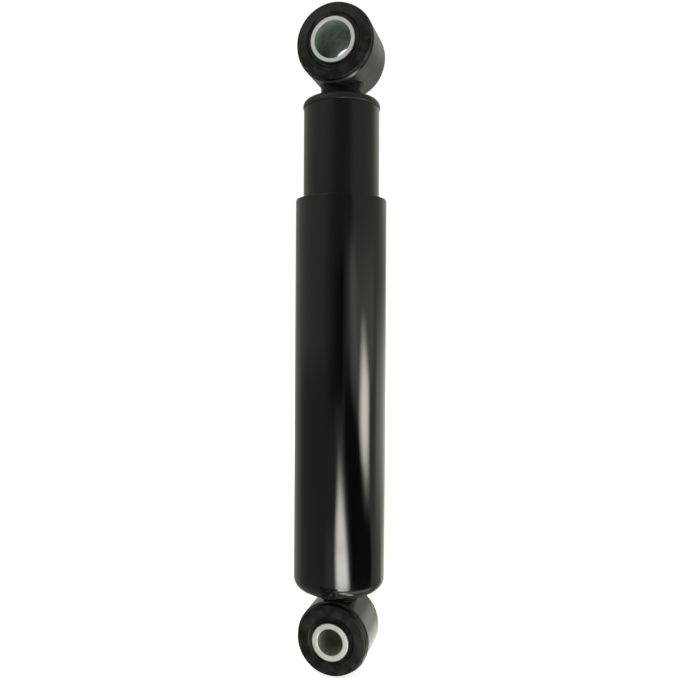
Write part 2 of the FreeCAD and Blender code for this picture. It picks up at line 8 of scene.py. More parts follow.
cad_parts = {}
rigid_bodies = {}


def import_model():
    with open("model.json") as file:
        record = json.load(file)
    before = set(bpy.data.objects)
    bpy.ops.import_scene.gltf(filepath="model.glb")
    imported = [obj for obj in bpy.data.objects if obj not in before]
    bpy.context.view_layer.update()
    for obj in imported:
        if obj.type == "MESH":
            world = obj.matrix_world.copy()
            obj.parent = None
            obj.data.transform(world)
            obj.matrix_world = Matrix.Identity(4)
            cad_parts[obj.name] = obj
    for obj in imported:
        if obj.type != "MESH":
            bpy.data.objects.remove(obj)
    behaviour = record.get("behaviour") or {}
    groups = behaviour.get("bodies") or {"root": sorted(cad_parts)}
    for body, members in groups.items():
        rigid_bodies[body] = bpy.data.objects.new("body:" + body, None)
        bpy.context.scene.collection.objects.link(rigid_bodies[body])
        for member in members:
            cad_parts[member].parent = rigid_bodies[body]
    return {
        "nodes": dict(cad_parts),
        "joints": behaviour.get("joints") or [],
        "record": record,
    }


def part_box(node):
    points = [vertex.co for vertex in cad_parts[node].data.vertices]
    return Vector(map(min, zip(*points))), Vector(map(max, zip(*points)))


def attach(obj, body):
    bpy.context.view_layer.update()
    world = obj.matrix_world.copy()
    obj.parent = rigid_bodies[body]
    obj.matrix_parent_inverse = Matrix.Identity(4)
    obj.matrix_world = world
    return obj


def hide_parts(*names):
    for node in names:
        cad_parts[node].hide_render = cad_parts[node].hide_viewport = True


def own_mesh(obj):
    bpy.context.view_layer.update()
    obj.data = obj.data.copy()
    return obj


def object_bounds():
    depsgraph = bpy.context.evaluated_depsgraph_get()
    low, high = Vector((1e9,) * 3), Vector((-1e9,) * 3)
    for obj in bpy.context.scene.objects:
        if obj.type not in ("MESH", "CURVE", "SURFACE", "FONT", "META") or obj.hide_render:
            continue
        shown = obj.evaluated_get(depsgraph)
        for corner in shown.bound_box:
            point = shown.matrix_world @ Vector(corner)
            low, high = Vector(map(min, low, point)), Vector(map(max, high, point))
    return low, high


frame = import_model()
cad_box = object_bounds()

# The looks of a hydraulic shock absorber, in metres, in the frame of its solids: +Z up the axis, both eye
# bores along Y. The visible shells are turned again here with finer edges, and each stands for its solid.

MM = 0.001

# Camera, level, in front and a little to the right. The heading is in degrees, the roll in radians.
CAMERA_HEADING = 16.2
CAMERA_DISTANCE = 373.5 * MM
CAMERA_HEIGHT = 170.4 * MM
CAMERA_ROLL = 0.0057
CAMERA_SENSOR = 36.0
CAMERA_LENS = 35.16
CAMERA_SHIFT = (-0.00075, -0.0209)
CAMERA_NEAR = 10.0 * MM
FRONT = math.radians(CAMERA_HEADING)

# Turned shells
TURNS = 192
ARC_STEPS = 10
ARC_LEAD = 0.12
CRISP_EDGE = 0.25 * MM
SOFT_EDGE = 0.6 * MM
GROOVE_EDGE = 0.9 * MM
SMOOTH_ANGLE = math.radians(32)
FIT = 0.04 * MM
MERGE_REACH = 0.001 * MM
SLIVER_REACH = 0.0001 * MM

# Dust shield and cylinder
SHIELD_WALL = 1.2 * MM
SHIELD_CORNER = 5.4 * MM
TUBE_WALL = 1.5 * MM
TUBE_LIP = 4.6 * MM
TUBE_LIP_CORNER = 2.4 * MM
CAP_THICKNESS = 2.5 * MM
CAP_SHOULDER_HEIGHT = 4.8 * MM
CAP_CORNER = 3.2 * MM
CAP_EDGE = 0.9 * MM
CAP_SPIGOT_WALL = 2.4 * MM

# Eyes
RING_WALL = 3.0 * MM
RING_CHAMFER_REACH = 1.3 * MM
RING_CHAMFER_DEPTH = 0.74 * MM
RING_EDGE = 0.15 * MM
ROD_RING_DULLNESS = 0.0
ROD_RING_SHINE = 0.71
BASE_RING_DULLNESS = 0.22
BASE_RING_SHINE = 0.36
RING_DULL_START = 0.7
BUSH_SHRINK = 0.25 * MM
BUSH_CROWN = 0.6 * MM
BUSH_EDGE = 1.4 * MM
BUSH_UNDERCUT = 0.4 * MM
BUSH_UNDERCUT_REACH = 2.2 * MM
BUSH_BACK_EDGE = 0.2 * MM
BUSH_GROOVE_WIDTH = 1.8 * MM
BUSH_GROOVE_DEPTH = 0.7 * MM
SLEEVE_EDGE = 0.45 * MM
SLEEVE_SHADE_REACH = 0.48 * MM

# Colours, darkest and lightest: plating on each sleeve's ends, painted shade in its bore, paint of the tube
# and cap.
# The sleeve shade is painted shade on the outer edge and wall of each sleeve, beside the rubber.
ROD_PLATING = ((0.66, 0.655, 0.66), (0.75, 0.745, 0.75))
BASE_PLATING = ((0.61, 0.61, 0.67), (0.69, 0.69, 0.75))
ROD_BORE_SHADE = ((0.155, 0.162, 0.138), (0.232, 0.234, 0.193))
BASE_BORE_SHADE = ((0.098, 0.127, 0.110), (0.151, 0.185, 0.156))
TUBE_PAINT = ((0.0010, 0.0011, 0.0006), (0.0022, 0.0023, 0.0015))
SLEEVE_SHADE_COLOUR = (0.12, 0.12, 0.12)

# Haze of wiping in the paint, and how much duller the dust makes the rubber
HAZE_SIZE = 6.0 * MM
HAZE_STRETCH = (1.0, 1.0, 0.12)
DUST_DULLNESS = 0.14

# Weld necks and the beads along their seams
ROD_NECK_FLARE = 2.6 * MM
BASE_NECK_FLARE = 2.9 * MM
NECK_FLARE_POWER = 5
NECK_ROWS = 30
NECK_LUMP = 0.22 * MM
NECK_LUMP_SIZE = 3.0 * MM
NECK_PASSES = 3
NECK_PASS_DEPTH = 0.12 * MM
NECK_PASS_WANDER = 5.0 * MM
NECK_PASS_SWAY = 1.0
BEAD_RADIUS = 0.6 * MM
BEAD_RIPPLES = 34
BEAD_RIPPLE_DEPTH = 0.26
BEAD_WANDER = 0.32
BEAD_WANDER_SIZE = 4.0 * MM
BEAD_STEPS = 12.0
BEAD_SIDES = 14
SEAM_POINTS = 160

# Lump of weld that has run from the lower neck up over the shield's rounded corner
RUN_HEADING = 4.0
RUN_SPREAD = 24.0
RUN_START = 15.0 * MM
RUN_RISE = 2.6 * MM
RUN_LIFT = 1.0 * MM
RUN_SINK = 0.2 * MM
RUN_ROOT = 2 * RUN_SINK
RUN_LUMP_MEAN = 0.75
RUN_LUMP_SWAY = 0.9
RUN_LUMP_SIZE = 2.2 * MM
RUN_STEPS = 40


def object_from(name, mesh, material, body, slot, *nodes):
    """Puts a finished mesh on its body, in the place of the solids that it stands for."""
    mesh.materials.clear()
    mesh.materials.append(material)
    piece = bpy.data.objects.new(name, mesh)
    bpy.context.scene.collection.objects.link(piece)
    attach(piece, body)
    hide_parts(*nodes)
    return piece


def rounding(before, corner, after, radius):
    """Points of the arc that rounds a corner, with one more beside each end to keep the straights flat."""
    back = (before - corner).normalized()
    ahead = (after - corner).normalized()
    half = back.angle(ahead) / 2
    centre = corner + (back + ahead).normalized() * (radius / math.sin(half))
    start = corner + back * (radius / math.tan(half)) - centre
    sweep = math.pi - 2 * half
    side = math.copysign(1.0, back.y * ahead.x - back.x * ahead.y)
    points = [centre + start + back * radius * ARC_LEAD]
    for i in range(ARC_STEPS + 1):
        turn = side * sweep * i / ARC_STEPS
        points.append(centre + Vector((start.x * math.cos(turn) - start.y * math.sin(turn),
                                       start.x * math.sin(turn) + start.y * math.cos(turn))))
    points.append(points[-1] + ahead * radius * ARC_LEAD)
    return points


def outline(corners):
    """Closed outline as points. A corner is (radius, height), with a third number where it is rounded."""
    points = [Vector(corner[:2]) for corner in corners]
    line = []
    for i, corner in enumerate(corners):
        if len(corner) == 2:
            line.append(points[i])
        else:
            line += rounding(points[i - 1], points[i], points[(i + 1) % len(points)], corner[2])
    return line


def with_mirror(front):
    """Corners of one end, followed by the same corners at the other end."""
    return front + [(reach, -height, *edge) for reach, height, *edge in reversed(front)]


def finished(bm, name):
    """Mesh with closed seams, faces outwards, and smooth shading between its sharp edges."""
    bmesh.ops.remove_doubles(bm, verts=bm.verts, dist=MERGE_REACH)
    bmesh.ops.dissolve_degenerate(bm, edges=bm.edges, dist=SLIVER_REACH)
    bmesh.ops.recalc_face_normals(bm, faces=bm.faces)
    mesh = bpy.data.meshes.new(name)
    bm.to_mesh(mesh)
    bm.free()
    mesh.shade_smooth()
    mesh.set_sharp_from_angle(angle=SMOOTH_ANGLE)
    return mesh


def turned(name, corners, place=Matrix.Identity(4)):
    """Mesh of a closed outline turned about Z, then put in its place."""
    line = outline(corners)
    bm = bmesh.new()
    rings = []
    for point in line:
        ring = []
        for i in range(TURNS):
            turn = 2 * math.pi * i / TURNS
            spot = Vector((point.x * math.cos(turn), point.x * math.sin(turn), point.y))
            ring.append(bm.verts.new(place @ spot))
        rings.append(ring)
    for ring, following in zip(rings, rings[1:] + rings[:1]):
        for i in range(TURNS):
            j = (i + 1) % TURNS
            bm.faces.new((ring[i], ring[j], following[j], following[i]))
    return finished(bm, name)


def node(tree, kind, inputs=None, **settings):
    """Adds a node. An input is a value, or a socket to link from."""
    made = tree.nodes.new(kind)
    for key, value in settings.items():
        setattr(made, key, value)
    for key, value in (inputs or {}).items():
        if isinstance(value, bpy.types.NodeSocket):
            tree.links.new(value, made.inputs[key])
        else:
            made.inputs[key].default_value = value
    return made


def calc(tree, operation, first, second=0.0):
    return node(tree, "ShaderNodeMath", {0: first, 1: second}, operation=operation).outputs[0]


def shader_group(name, inputs, outputs):
    """Empty shader group with named number inputs and outputs, and its two end nodes."""
    tree = bpy.data.node_groups.new(name, "ShaderNodeTree")
    for label, value in inputs.items():
        tree.interface.new_socket(label, in_out="INPUT", socket_type="NodeSocketFloat").default_value = value
    for label in outputs:
        tree.interface.new_socket(label, in_out="OUTPUT", socket_type="NodeSocketFloat")
    return tree, tree.nodes.new("NodeGroupInput").outputs, tree.nodes.new("NodeGroupOutput").inputs


def noise_of(tree, size, detail=2.0, stretch=(1.0, 1.0, 1.0)):
    """Noise on Object coordinates. Size is in metres, a number or a socket."""
    place = node(tree, "ShaderNodeTexCoord").outputs["Object"]
    spread = node(tree, "ShaderNodeVectorMath", {0: place, 1: stretch}, operation="MULTIPLY").outputs[0]
    scale = calc(tree, "DIVIDE", 1.0, size)
    cloud = node(tree, "ShaderNodeTexNoise", {"Vector": spread, "Scale": scale, "Detail": detail})
    return cloud.outputs["Fac"]


def ranged(tree, value, low, high, start=0.3, end=0.7):
    """Spreads a mask between two values. Noise lies mostly between 0.3 and 0.7."""
    spread = node(tree, "ShaderNodeMapRange", {"Value": value, "From Min": start, "From Max": end,
                                               "To Min": low, "To Max": high})
    return spread.outputs[0]


def sprayed_film():
    """Paint film: orange peel, fine specks, and a haze of wiping that runs along Z."""
    tree, given, wanted = shader_group("sprayed film", {"Peel Size": 3.0 * MM, "Speck Size": 0.4 * MM},
                                       ["Peel", "Specks", "Haze"])
    tree.links.new(noise_of(tree, given["Peel Size"]), wanted["Peel"])
    tree.links.new(noise_of(tree, given["Speck Size"], detail=3.0), wanted["Specks"])
    haze = noise_of(tree, HAZE_SIZE, detail=4.0, stretch=HAZE_STRETCH)
    tree.links.new(haze, wanted["Haze"])
    return tree


def surface_grain():
    """Fine grain with a broader mottle."""
    tree, given, wanted = shader_group("surface grain", {"Grain Size": 0.6 * MM, "Mottle Size": 6.0 * MM},
                                       ["Grain", "Mottle"])
    tree.links.new(noise_of(tree, given["Grain Size"], detail=4.0), wanted["Grain"])
    tree.links.new(noise_of(tree, given["Mottle Size"], detail=3.0), wanted["Mottle"])
    return tree


def turned_lines():
    """Fine tool lines round a bore along Y, and a mask that rises from 0 at its radius to 1 just outside."""
    sizes = {"Bore Height": 0.0, "Bore Radius": 10.0 * MM, "Pitch": 0.05 * MM}
    tree, given, wanted = shader_group("turned lines", sizes, ["Lines", "Outside"])
    place = node(tree, "ShaderNodeTexCoord").outputs["Object"]
    axes = node(tree, "ShaderNodeSeparateXYZ", {0: place}).outputs
    rise = calc(tree, "SUBTRACT", axes["Z"], given["Bore Height"])
    flat = node(tree, "ShaderNodeCombineXYZ", {"X": axes["X"], "Y": rise}).outputs[0]
    reach = node(tree, "ShaderNodeVectorMath", {0: flat}, operation="LENGTH").outputs["Value"]
    wave = calc(tree, "SINE", calc(tree, "DIVIDE", reach, given["Pitch"]))
    tree.links.new(ranged(tree, wave, 0.0, 1.0, -1.0, 1.0), wanted["Lines"])
    beyond = calc(tree, "SUBTRACT", reach, given["Bore Radius"])
    tree.links.new(ranged(tree, beyond, 0.0, 1.0, 0.0, SLEEVE_EDGE), wanted["Outside"])
    return tree


FILM = sprayed_film()
GRAIN = surface_grain()
LINES = turned_lines()


def material_with(name, **constants):
    """New material, its tree and its Principled shader with constant values set on the sockets."""
    made = bpy.data.materials.new(name)
    made.use_nodes = True
    shader = made.node_tree.nodes["Principled BSDF"]
    for label, value in constants.items():
        shader.inputs[label.replace("_", " ")].default_value = value
    return made, made.node_tree, shader


def group_in(tree, group, **values):
    placed = tree.nodes.new("ShaderNodeGroup")
    placed.node_tree = group
    for label, value in values.items():
        placed.inputs[label.replace("_", " ")].default_value = value
    return placed.outputs


def between(tree, mask, dark, light):
    """Colour that runs from dark to light with a mask."""
    ends = [shade if isinstance(shade, bpy.types.NodeSocket) else (*shade, 1.0) for shade in (dark, light)]
    mixed = node(tree, "ShaderNodeMix", {0: mask, 6: ends[0], 7: ends[1]}, data_type="RGBA")
    return mixed.outputs[2]


def bumped(tree, shader, height, distance):
    bump = node(tree, "ShaderNodeBump", {"Height": height, "Distance": distance, "Strength": 1.0})
    tree.links.new(bump.outputs["Normal"], shader.inputs["Normal"])


def paint(name, dark, light, roughness, peel_size, peel_depth, **constants):
    """Black paint: orange peel in the normal, wiping haze in the roughness, faint specks in the colour."""
    made, tree, shader = material_with(name, IOR=1.5, **constants)
    film = group_in(tree, FILM, Peel_Size=peel_size)
    colour = between(tree, ranged(tree, film["Specks"], 0.0, 1.0), dark, light)
    tree.links.new(colour, shader.inputs["Base Color"])
    tree.links.new(ranged(tree, film["Haze"], *roughness), shader.inputs["Roughness"])
    bumped(tree, shader, film["Peel"], peel_depth)
    return made


def gloss_black():
    return paint("gloss_black", (0.0005, 0.0005, 0.0003), (0.0009, 0.0009, 0.0006),
                 roughness=(0.07, 0.11), peel_size=3.2 * MM, peel_depth=0.004 * MM)


def satin_black():
    return paint("satin_black", *TUBE_PAINT, roughness=(0.15, 0.21), peel_size=1.2 * MM,
                 peel_depth=0.004 * MM, Specular_IOR_Level=0.43)


def ring_black(eye, dullness, shine):
    """Grainy ring paint, whose barrel is duller by a given value than the rubbed chamfers at its ends."""
    made = paint("ring_black_" + eye.prefix, (0.005, 0.0052, 0.004), (0.011, 0.0112, 0.009),
                 roughness=(0.15, 0.24), peel_size=1.1 * MM, peel_depth=0.018 * MM, Specular_IOR_Level=shine)
    tree = made.node_tree
    shader = tree.nodes["Principled BSDF"]
    gloss = shader.inputs["Roughness"].links[0].from_socket
    lines = group_in(tree, LINES, Bore_Height=eye.height, Bore_Radius=eye.ring_r - SLEEVE_EDGE)
    barrel = ranged(tree, lines["Outside"], 0.0, dullness, start=RING_DULL_START, end=1.0)
    tree.links.new(calc(tree, "ADD", gloss, barrel), shader.inputs["Roughness"])
    return made


def painted_weld():
    return paint("painted_weld", (0.0004, 0.0004, 0.0003), (0.0010, 0.0010, 0.0008),
                 roughness=(0.30, 0.42), peel_size=0.9 * MM, peel_depth=0.02 * MM, Specular_IOR_Level=0.16)


def cap_black():
    return paint("cap_black", *TUBE_PAINT, roughness=(0.34, 0.44), peel_size=1.2 * MM,
                 peel_depth=0.006 * MM, Specular_IOR_Level=0.42)


def grained(name, dark, light, roughness, grain_size, grain_depth, **constants):
    """Surface with a grain in its normal and a mottle in its colour and roughness."""
    made, tree, shader = material_with(name, **constants)
    grain = group_in(tree, GRAIN, Grain_Size=grain_size)
    colour = between(tree, ranged(tree, grain["Mottle"], 0.0, 1.0), dark, light)
    tree.links.new(colour, shader.inputs["Base Color"])
    tree.links.new(ranged(tree, grain["Grain"], *roughness), shader.inputs["Roughness"])
    bumped(tree, shader, grain["Grain"], grain_depth)
    return made


def rubber():
    """Moulded rubber with a fine grain, and dust that lies on it in patches and dulls it."""
    made, tree, shader = material_with("rubber", IOR=1.5, Specular_IOR_Level=0.25)
    grain = group_in(tree, GRAIN, Grain_Size=0.5 * MM, Mottle_Size=4.5 * MM)
    dust = ranged(tree, grain["Mottle"], 0.0, 1.0, start=0.46, end=0.72)
    dusty = between(tree, dust, (0.0010, 0.0011, 0.0008), (0.0140, 0.0138, 0.0116))
    tree.links.new(dusty, shader.inputs["Base Color"])
    clean = ranged(tree, grain["Grain"], 0.27, 0.36)
    dulled = calc(tree, "ADD", clean, calc(tree, "MULTIPLY", dust, DUST_DULLNESS))
    tree.links.new(dulled, shader.inputs["Roughness"])
    bumped(tree, shader, grain["Grain"], 0.014 * MM)
    return made


def zinc_steel(name, eye, plating, bore_shade):
    """Zinc-plated sleeve: tool lines on its ends, painted shade in its bore and on its outside."""
    made, tree, shader = material_with(name, Specular_IOR_Level=0.0)
    grain = group_in(tree, GRAIN, Grain_Size=0.4 * MM, Mottle_Size=3.0 * MM)
    lines = group_in(tree, LINES, Bore_Height=eye.height, Bore_Radius=eye.bore_r)
    # Mask of the sleeve's outer edge and wall, which is given a painted shade.
    wall = group_in(tree, LINES, Bore_Height=eye.height, Bore_Radius=eye.sleeve_r - SLEEVE_SHADE_REACH)["Outside"]
    mottle = ranged(tree, grain["Mottle"], 0.0, 1.0)
    plated = between(tree, mottle, *plating)
    shaded_plating = between(tree, wall, plated, SLEEVE_SHADE_COLOUR)
    open_side = ranged(tree, lines["Outside"], 0.0, 1.0, start=0.05, end=0.35)
    # Painted shade in the bore: a dull dark colour without metal.
    film = between(tree, mottle, *bore_shade)
    tree.links.new(between(tree, open_side, film, shaded_plating), shader.inputs["Base Color"])
    tree.links.new(open_side, shader.inputs["Metallic"])
    tree.links.new(ranged(tree, grain["Grain"], 0.42, 0.55), shader.inputs["Roughness"])
    bumped(tree, shader, calc(tree, "ADD", lines["Lines"], grain["Grain"]), 0.004 * MM)
    return made


def hard_chrome():
    return grained("hard_chrome", (0.70, 0.70, 0.71), (0.78, 0.78, 0.79), roughness=(0.06, 0.11),
                   grain_size=0.4 * MM, grain_depth=0.001 * MM, Metallic=1.0)


def bright_steel():
    return grained("bright_steel", (0.46, 0.46, 0.47), (0.60, 0.60, 0.60), roughness=(0.26, 0.38),
                   grain_size=0.5 * MM, grain_depth=0.004 * MM, Metallic=1.0)


def spring_steel():
    return grained("spring_steel", (0.24, 0.25, 0.29), (0.36, 0.36, 0.37), roughness=(0.28, 0.40),
                   grain_size=0.5 * MM, grain_depth=0.004 * MM, Metallic=1.0)


def sintered_iron():
    return grained("sintered_iron", (0.16, 0.16, 0.16), (0.27, 0.26, 0.25), roughness=(0.50, 0.68),
                   grain_size=0.3 * MM, grain_depth=0.02 * MM, Metallic=1.0)


def bearing_bronze():
    return grained("bearing_bronze", (0.48, 0.33, 0.17), (0.60, 0.44, 0.26), roughness=(0.30, 0.42),
                   grain_size=0.4 * MM, grain_depth=0.006 * MM, Metallic=1.0)


def fluoropolymer():
    return grained("fluoropolymer", (0.09, 0.075, 0.05), (0.15, 0.125, 0.09), roughness=(0.48, 0.60),
                   grain_size=0.5 * MM, grain_depth=0.006 * MM, IOR=1.38)


class Eye:
    """Centre height and sizes of one eye, read from its solids and its bore mount."""

    def __init__(self, prefix, body, sleeve_body, mount):
        self.prefix = prefix
        self.body = body
        self.sleeve_body = sleeve_body
        low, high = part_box(prefix + "_ring")
        self.height = (low.z + high.z) / 2
        self.ring_r = high.x
        self.ring_half = high.y
        self.flange_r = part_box(prefix + "_bush")[1].x
        self.bush_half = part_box(prefix + "_bush")[1].y
        self.sleeve_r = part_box(prefix + "_sleeve")[1].x
        self.sleeve_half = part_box(prefix + "_sleeve")[1].y
        sizes = {row["name"]: row["dims"] for row in frame["record"]["mounts"]}
        self.bore_r = sizes[mount]["r_mm"] * MM
        self.place = Matrix.Translation((0, 0, self.height)) @ Matrix.Rotation(math.radians(-90), 4, "X")

    def ring(self, finish):
        """Barrel with a flat chamfer round the outside of each end."""
        name = self.prefix + "_barrel"
        half, end_r = self.ring_half, self.ring_r - RING_CHAMFER_REACH
        wall = half - RING_CHAMFER_DEPTH
        front = [(self.ring_r - RING_WALL, -half), (end_r, -half, RING_EDGE), (self.ring_r, -wall, RING_EDGE)]
        mesh = turned(name, with_mirror(front), self.place)
        object_from(name, mesh, finish, self.body, "satin_black", self.prefix + "_ring")

    def bush(self, finish):
        """Rubber with a moulded groove beside the sleeve, and a crowned flange that stands off the ring."""
        inner_r = self.sleeve_r + FIT
        seat_r = self.ring_r - RING_WALL - FIT
        rim_r = self.flange_r - BUSH_SHRINK
        rest_r = rim_r - BUSH_UNDERCUT_REACH
        groove_r = inner_r + BUSH_GROOVE_WIDTH
        face_r = groove_r + BUSH_GROOVE_DEPTH
        half, face = self.ring_half, self.bush_half
        groove = face - BUSH_GROOVE_DEPTH
        back = half + BUSH_UNDERCUT
        front = [(inner_r, -groove), (groove_r, -groove, GROOVE_EDGE), (face_r, -face, GROOVE_EDGE),
                 (rim_r, BUSH_CROWN - face, BUSH_EDGE), (rim_r, -back, BUSH_BACK_EDGE), (rest_r, -back),
                 (rest_r, -half), (seat_r, -half)]
        mesh = turned(self.prefix + "_rubber", with_mirror(front), self.place)
        object_from(self.prefix + "_rubber", mesh, finish, self.body, "rubber", self.prefix + "_bush")

    def sleeve(self, finish):
        name = self.prefix + "_tube"
        half = self.sleeve_half
        ends = [(self.bore_r, -half), (self.sleeve_r, -half), (self.sleeve_r, half), (self.bore_r, half)]
        mesh = turned(name, [(*end, SLEEVE_EDGE) for end in ends], self.place)
        object_from(name, mesh, finish, self.sleeve_body, "zinc_steel", self.prefix + "_sleeve")

    def flank(self, across, side):
        """Height of the ring's outside, above or below its centre, at a distance across the axis."""
        return self.height + side * math.sqrt(self.ring_r ** 2 - across ** 2)


rod_eye = Eye("rod_eye", "rod", "rod_sleeve", "lower_eye_bore")
base_eye = Eye("base_eye", "cylinder", "base_sleeve", "upper_eye_bore")


def dust_shield(finish):
    low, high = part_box("dust_shield")
    radius, floor, rim = high.x, low.z, high.z
    bore_r = radius - SHIELD_WALL
    hole_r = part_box("piston_rod")[1].x + FIT
    inside = floor + SHIELD_WALL
    corners = [(hole_r, floor), (radius, floor, SHIELD_CORNER), (radius, rim, CRISP_EDGE),
               (bore_r, rim, CRISP_EDGE), (bore_r, inside, SHIELD_CORNER - SHIELD_WALL), (hole_r, inside)]
    object_from("shield_shell", turned("shield_shell", corners), finish, "rod", "gloss_black", "dust_shield")


def reservoir_tube(finish):
    low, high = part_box("reservoir_tube")
    radius, bore_r, lip_r = high.x, high.x - TUBE_WALL, high.x - TUBE_LIP
    bottom, top, seat = low.z, high.z, low.z + TUBE_WALL
    corners = [(lip_r, bottom, CRISP_EDGE), (radius, bottom, TUBE_LIP_CORNER), (radius, top, CRISP_EDGE),
               (bore_r, top), (bore_r, seat), (lip_r, seat)]
    mesh = turned("damper_tube", corners)
    object_from("damper_tube", mesh, finish, "cylinder", "satin_black", "reservoir_tube")


def base_cap(finish):
    low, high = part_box("base_cap")
    radius, top = high.x, high.z
    shoulder = top - CAP_SHOULDER_HEIGHT
    inside = top - CAP_THICKNESS
    seat_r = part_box("reservoir_tube")[1].x - TUBE_WALL - FIT
    spigot_r = seat_r - CAP_SPIGOT_WALL
    corners = [(0, inside), (spigot_r, inside, SOFT_EDGE), (spigot_r, low.z), (seat_r, low.z),
               (seat_r, shoulder), (radius, shoulder, CAP_EDGE), (radius, top, CAP_CORNER), (0, top)]
    object_from("cap_shell", turned("cap_shell", corners), finish, "cylinder", "satin_black", "base_cap")


def bead_tree():
    """Weld bead along a closed seam: a round section whose radius steps up and falls back at each ripple."""
    tree = bpy.data.node_groups.new("weld bead", "GeometryNodeTree")
    tree.interface.new_socket("Seam", in_out="INPUT", socket_type="NodeSocketGeometry")
    for label in ("Radius", "Ripples", "Depth", "Wander"):
        tree.interface.new_socket(label, in_out="INPUT", socket_type="NodeSocketFloat")
    tree.interface.new_socket("Finish", in_out="INPUT", socket_type="NodeSocketMaterial")
    tree.interface.new_socket("Bead", in_out="OUTPUT", socket_type="NodeSocketGeometry")
    given = tree.nodes.new("NodeGroupInput").outputs
    wanted = tree.nodes.new("NodeGroupOutput").inputs

    seam = node(tree, "GeometryNodeMeshToCurve", {"Mesh": given["Seam"]}).outputs[0]
    count = calc(tree, "MULTIPLY", given["Ripples"], BEAD_STEPS)
    even = node(tree, "GeometryNodeResampleCurve", {"Curve": seam, "Count": count}).outputs[0]
    along = tree.nodes.new("GeometryNodeSplineParameter").outputs["Factor"]
    ripple = calc(tree, "FRACT", calc(tree, "MULTIPLY", along, given["Ripples"]))
    crest = calc(tree, "SQRT", calc(tree, "SINE", calc(tree, "MULTIPLY", ripple, math.pi)))
    dip = calc(tree, "MULTIPLY", calc(tree, "SUBTRACT", crest, 1.0), given["Depth"])
    place = tree.nodes.new("GeometryNodeInputPosition").outputs[0]
    uneven = node(tree, "ShaderNodeTexNoise", {"Vector": place, "Scale": 1 / BEAD_WANDER_SIZE, "Detail": 1.0})
    swell = calc(tree, "MULTIPLY", calc(tree, "SUBTRACT", uneven.outputs["Fac"], 0.5), given["Wander"])
    share = calc(tree, "ADD", calc(tree, "ADD", dip, swell), 1.0)
    radius = calc(tree, "MULTIPLY", given["Radius"], share)
    section = node(tree, "GeometryNodeCurvePrimitiveCircle", {"Resolution": BEAD_SIDES, "Radius": 1.0})
    bead = node(tree, "GeometryNodeCurveToMesh", {"Curve": even, "Profile Curve": section.outputs[0],
                                                  "Scale": radius})
    whole = node(tree, "GeometryNodeRealizeInstances", {"Geometry": bead.outputs[0]}).outputs[0]
    dressed = node(tree, "GeometryNodeSetMaterial", {"Geometry": whole, "Material": given["Finish"]})
    tree.links.new(dressed.outputs[0], wanted["Bead"])
    return tree


BEAD = bead_tree()


def bead_along(points, ripples, finish):
    """Plain mesh of a weld bead along a closed line of points."""
    seam = bpy.data.meshes.new("seam")
    count = len(points)
    seam.from_pydata(points, [(i, (i + 1) % count) for i in range(count)], [])
    holder = bpy.data.objects.new("seam", seam)
    bpy.context.scene.collection.objects.link(holder)
    modifier = holder.modifiers.new("bead", "NODES")
    modifier.node_group = BEAD
    values = {"Radius": BEAD_RADIUS, "Ripples": float(ripples), "Depth": BEAD_RIPPLE_DEPTH,
              "Wander": BEAD_WANDER, "Finish": finish}
    for socket in BEAD.interface.items_tree:
        if socket.name in values:
            modifier[socket.identifier] = values[socket.name]
    bpy.context.view_layer.update()
    mesh = bpy.data.meshes.new_from_object(holder.evaluated_get(bpy.context.evaluated_depsgraph_get()))
    bpy.data.objects.remove(holder)
    return mesh


def circle_of(radius, height_at):
    """Closed line of points round the axis, at a height that may follow the ring's flank."""
    points = []
    for i in range(SEAM_POINTS):
        turn = 2 * math.pi * i / SEAM_POINTS
        x, y = radius * math.cos(turn), radius * math.sin(turn)
        points.append((x, y, height_at(x)))
    return points


def neck_shell(waist_r, flare_r, foot, head_at):
    """Closed, slightly lumpy collar with weld passes round it, from a flared foot to the ring's flank."""
    bm = bmesh.new()
    rings = []
    for row in range(NECK_ROWS + 1):
        share = row / NECK_ROWS
        radius = waist_r + (flare_r - waist_r) * (1 - share) ** NECK_FLARE_POWER
        ring = []
        for i in range(TURNS):
            turn = 2 * math.pi * i / TURNS
            x, y = radius * math.cos(turn), radius * math.sin(turn)
            spot = Vector((x, y, foot + (head_at(x) - foot) * share))
            lump = noise.noise(spot / NECK_LUMP_SIZE) * NECK_LUMP
            ripple = noise.noise(spot / NECK_PASS_WANDER) * NECK_PASS_SWAY
            lump += NECK_PASS_DEPTH * abs(math.sin(math.pi * (NECK_PASSES * share + ripple)))
            ring.append(bm.verts.new(spot + Vector((x, y, 0)).normalized() * lump))
        rings.append(ring)
    for ring, following in zip(rings, rings[1:]):
        for i in range(TURNS):
            j = (i + 1) % TURNS
            bm.faces.new((ring[i], ring[j], following[j], following[i]))
    for ring, height in ((rings[0], foot), (rings[-1], head_at(0))):
        middle = bm.verts.new((0, 0, height))
        for i in range(TURNS):
            bm.faces.new((ring[i], ring[(i + 1) % TURNS], middle))
    return finished(bm, "neck")


